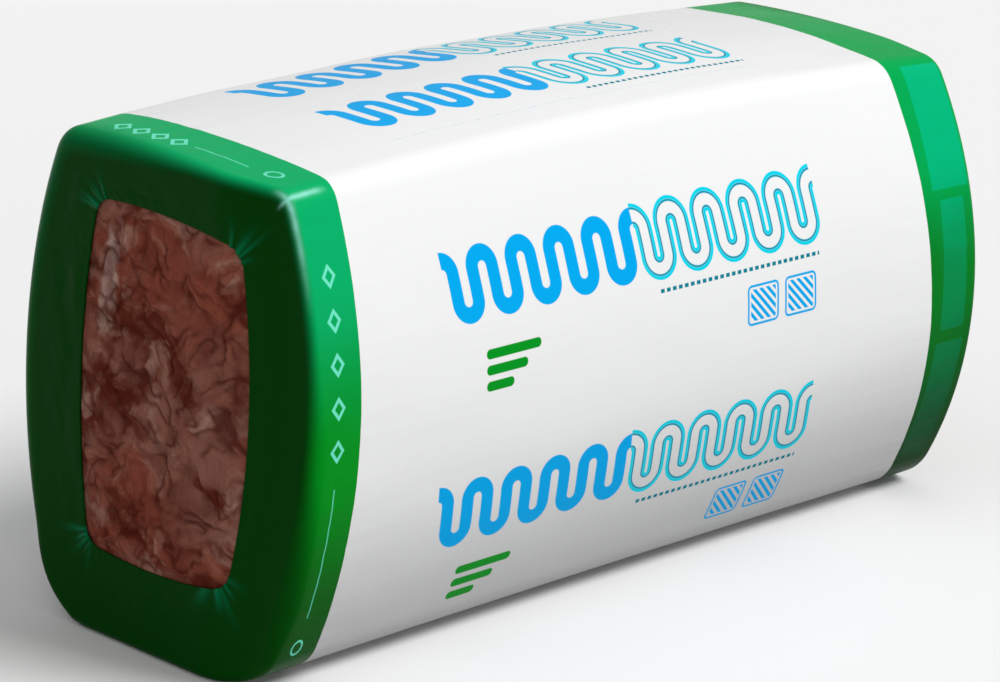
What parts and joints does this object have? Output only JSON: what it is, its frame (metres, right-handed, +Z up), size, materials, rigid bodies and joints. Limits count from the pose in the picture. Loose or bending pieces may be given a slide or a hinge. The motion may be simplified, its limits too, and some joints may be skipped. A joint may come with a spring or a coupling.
{
  "type": "mineral wool insulation pack",
  "caption": "Shrink-wrapped pack of mineral wool insulation slabs on edge: bulged film sleeve with coloured end bands and an open window showing the wool at each end.",
  "frame": {"origin": "centre of the pack's footprint, on the surface it stands on", "axes": "+X along the slabs, from the end that the picture shows to the far end; +Y across the stack of slabs, away from the long side that the picture shows; +Z up"},
  "size_m": [1.25, 0.53, 0.63],
  "materials": {
    "film": "thin shrink film, white with green end bands, soft gloss",
    "wool": "matte mottled brown glass wool"
  },
  "bodies": {
    "root": {"film_sleeve": "film", "wool_slab_1": "wool", "wool_slab_2": "wool", "wool_slab_3": "wool", "wool_slab_4": "wool", "wool_slab_5": "wool", "wool_slab_6": "wool", "wool_slab_7": "wool", "wool_slab_8": "wool"}
  },
  "joints": []
}
